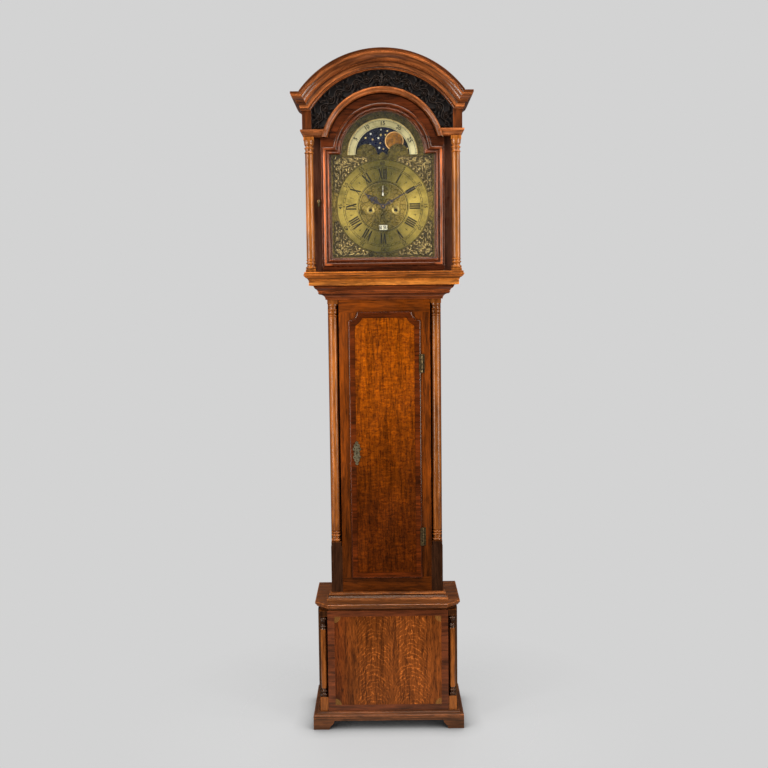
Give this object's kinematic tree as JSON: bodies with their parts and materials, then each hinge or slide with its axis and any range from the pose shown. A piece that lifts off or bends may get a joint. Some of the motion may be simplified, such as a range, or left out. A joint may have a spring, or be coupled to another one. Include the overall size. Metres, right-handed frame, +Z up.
{
  "type": "longcase clock",
  "caption": "Tall wooden clock with an arched, columned hood, brass dial with moon disc, glazed hood door, trunk door with scooped corners, base on bracket feet, and its movement",
  "frame": {"origin": "centre of the footprint box, on the floor", "axes": "+Z up the case, -Y out of the dial towards the viewer, +X to the viewer's right"},
  "size_m": [0.57, 0.2824, 2.1876],
  "materials": {
    "backboard": "old unpolished",
    "oak": "satin polish",
    "mahogany": "satin polish",
    "light_mahogany": "satin polish",
    "dark_carving": "dark stain",
    "brass": "aged",
    "dial_brass": "tarnished",
    "silvered": "silvered",
    "moon_paint": "painted",
    "bell_metal": "cast",
    "iron": "bright",
    "blued_steel": "blued",
    "glass": "clear",
    "gut": "twisted gut"
  },
  "bodies": {
    "case": {"backboard": "backboard", "base_boards": "backboard", "base_front_panel": "oak", "base_front_frame": "mahogany", "base_columns": "light_mahogany", "plinth_moulding": "mahogany", "bracket_feet": "mahogany", "base_top_mouldings": "mahogany", "trunk_front_frame": "mahogany", "trunk_sides": "mahogany", "trunk_columns": "light_mahogany", "throat_moulding": "mahogany", "seatboard": "backboard", "trunk_hinge_leaves": "brass", "dial_plate": "dial_brass", "chapter_ring": "dial_brass", "dial_spandrels": "brass", "lunar_ring": "dial_brass", "movement_frame": "brass", "bell": "bell_metal"},
    "trunk_door": {"trunk_door": "oak", "door_hinge_leaves": "brass", "escutcheon": "brass", "trunk_lock": "iron"},
    "lock_bolt": {"lock_bolt": "iron"},
    "hood": {"hood_base_moulding": "mahogany", "hood_sides": "mahogany", "hood_front_board": "mahogany", "hood_roof": "oak", "frieze_fret": "dark_carving", "hood_cornice": "light_mahogany", "arch_moulding": "light_mahogany", "hood_columns": "light_mahogany"},
    "hood_door": {"hood_door_frame": "mahogany", "hood_door_glass": "glass"},
    "hood_door_catch": {"hood_door_catch": "brass"},
    "centre": {"centre_wheel": "brass", "minute_hand": "blued_steel"},
    "minute_wheel": {"minute_wheel": "brass"},
    "hour": {"hour_wheel": "brass", "hour_hand": "blued_steel"},
    "third_wheel": {"third_wheel": "brass"},
    "escape": {"escape_wheel": "brass", "seconds_hand": "blued_steel"},
    "going_great_wheel": {"going_great_wheel": "brass"},
    "going_barrel": {"going_barrel": "brass"},
    "strike_great_wheel": {"strike_great_wheel": "brass"},
    "strike_barrel": {"strike_barrel": "brass"},
    "pin_wheel": {"pin_wheel": "brass"},
    "warning_wheel": {"warning_wheel": "brass"},
    "strike_fly": {"strike_fly": "brass"},
    "pallets": {"pallets": "iron"},
    "pendulum": {"pendulum": "brass"},
    "moon_disc": {"moon_disc": "moon_paint"},
    "date_ring": {"date_ring": "silvered"},
    "hammer": {"hammer": "iron"},
    "going_weight": {"going_weight": "brass", "going_line": "gut"},
    "strike_weight": {"strike_weight": "brass", "strike_line": "gut"}
  },
  "joints": [
    {"name": "hood_slide", "type": "slide", "parent": "case", "child": "hood", "axis": [0, -1, 0], "range_m": [0, 0.26]},
    {"name": "hood_door_hinge", "type": "hinge", "parent": "hood", "child": "hood_door", "pos_m": [0.191, -0.0948, 1.7], "axis": [0, 0, 1], "range_deg": [0, 100]},
    {"name": "hood_door_catch_turn", "type": "hinge", "parent": "hood", "child": "hood_door_catch", "pos_m": [-0.204, -0.0888, 1.7226], "axis": [0, -1, 0], "range_deg": [0, 90]},
    {"name": "trunk_door_hinge", "type": "hinge", "parent": "case", "child": "trunk_door", "pos_m": [0.1201, -0.0644, 0.93], "axis": [0, 0, 1], "range_deg": [0, 100]},
    {"name": "lock_bolt_slide", "type": "slide", "parent": "trunk_door", "child": "lock_bolt", "axis": [-1, 0, 0], "range_m": [0, 0.007]},
    {"name": "third_wheel_spin", "type": "hinge", "parent": "case", "child": "third_wheel", "pos_m": [0.00529, 0.0242, 1.73456], "axis": [0, 1, 0], "continuous": true},
    {"name": "centre_spin", "type": "hinge", "parent": "case", "child": "centre", "pos_m": [0, 0.0242, 1.7096], "axis": [0, 1, 0], "continuous": true},
    {"name": "minute_wheel_spin", "type": "hinge", "parent": "case", "child": "minute_wheel", "pos_m": [0, -0.0138, 1.6856], "axis": [0, 1, 0], "continuous": true},
    {"name": "hour_spin", "type": "hinge", "parent": "case", "child": "hour", "pos_m": [0, -0.0188, 1.7096], "axis": [0, 1, 0], "continuous": true},
    {"name": "escape_spin", "type": "hinge", "parent": "case", "child": "escape", "pos_m": [0, 0.0242, 1.7576], "axis": [0, 1, 0], "continuous": true},
    {"name": "going_great_spin", "type": "hinge", "parent": "case", "child": "going_great_wheel", "pos_m": [0.0406, 0.0047, 1.6981], "axis": [0, 1, 0], "continuous": true},
    {"name": "warning_wheel_spin", "type": "hinge", "parent": "case", "child": "warning_wheel", "pos_m": [-0.02601, 0.0242, 1.75566], "axis": [0, 1, 0], "continuous": true},
    {"name": "pin_wheel_spin", "type": "hinge", "parent": "case", "child": "pin_wheel", "pos_m": [-0.03463, 0.0242, 1.73198], "axis": [0, 1, 0], "continuous": true},
    {"name": "strike_great_spin", "type": "hinge", "parent": "case", "child": "strike_great_wheel", "pos_m": [-0.0406, 0.0047, 1.6981], "axis": [0, 1, 0], "continuous": true},
    {"name": "fly_spin", "type": "hinge", "parent": "case", "child": "strike_fly", "pos_m": [-0.03546, 0.0242, 1.77203], "axis": [0, 1, 0], "continuous": true},
    {"name": "going_weight_fall", "type": "slide", "parent": "case", "child": "going_weight", "axis": [0, 0, -1], "range_m": [0, 1.1], "deforming": ["going_line"]},
    {"name": "strike_weight_fall", "type": "slide", "parent": "case", "child": "strike_weight", "axis": [0, 0, -1], "range_m": [0, 1.1], "deforming": ["strike_line"]},
    {"name": "going_barrel_spin", "type": "hinge", "parent": "case", "child": "going_barrel", "pos_m": [0.0406, 0.0242, 1.6981], "axis": [0, 1, 0], "continuous": true},
    {"name": "strike_barrel_spin", "type": "hinge", "parent": "case", "child": "strike_barrel", "pos_m": [-0.0406, 0.0242, 1.6981], "axis": [0, 1, 0], "continuous": true},
    {"name": "pendulum_swing", "type": "hinge", "parent": "case", "child": "pendulum", "pos_m": [0, 0.0762, 1.7846], "axis": [0, 1, 0], "range_deg": [-3, 3]},
    {"name": "pallets_swing", "type": "hinge", "parent": "case", "child": "pallets", "pos_m": [0, 0.0292, 1.7846], "axis": [0, 1, 0], "range_deg": [-3, 3]},
    {"name": "moon_disc_turn", "type": "hinge", "parent": "case", "child": "moon_disc", "pos_m": [0, -0.0418, 1.8736], "axis": [0, 1, 0], "continuous": true},
    {"name": "date_ring_turn", "type": "hinge", "parent": "case", "child": "date_ring", "pos_m": [0, -0.0448, 1.7096], "axis": [0, 1, 0], "continuous": true},
    {"name": "hammer_swing", "type": "hinge", "parent": "case", "child": "hammer", "pos_m": [-0.055, 0.0242, 1.7996], "axis": [0, -1, 0], "range_deg": [0, 12], "stiffness_Nm_per_rad": 0.05, "springref_deg": -17.19}
  ],
  "couplings": [
    {"joint": "centre_spin", "follows": "third_wheel_spin", "ratio": -0.13333},
    {"joint": "going_great_spin", "follows": "third_wheel_spin", "ratio": 0.011111},
    {"joint": "escape_spin", "follows": "third_wheel_spin", "ratio": -8},
    {"joint": "minute_wheel_spin", "follows": "third_wheel_spin", "ratio": 0.088889},
    {"joint": "hour_spin", "follows": "third_wheel_spin", "ratio": -0.011111},
    {"joint": "pin_wheel_spin", "follows": "warning_wheel_spin", "ratio": -0.125},
    {"joint": "strike_great_spin", "follows": "warning_wheel_spin", "ratio": 0.012821},
    {"joint": "fly_spin", "follows": "warning_wheel_spin", "ratio": -8},
    {"joint": "going_barrel_spin", "follows": "going_weight_fall", "rad_per_m": -86.58},
    {"joint": "strike_barrel_spin", "follows": "strike_weight_fall", "rad_per_m": -86.58},
    {"joint": "pallets_swing", "follows": "pendulum_swing", "ratio": 1}
  ]
}
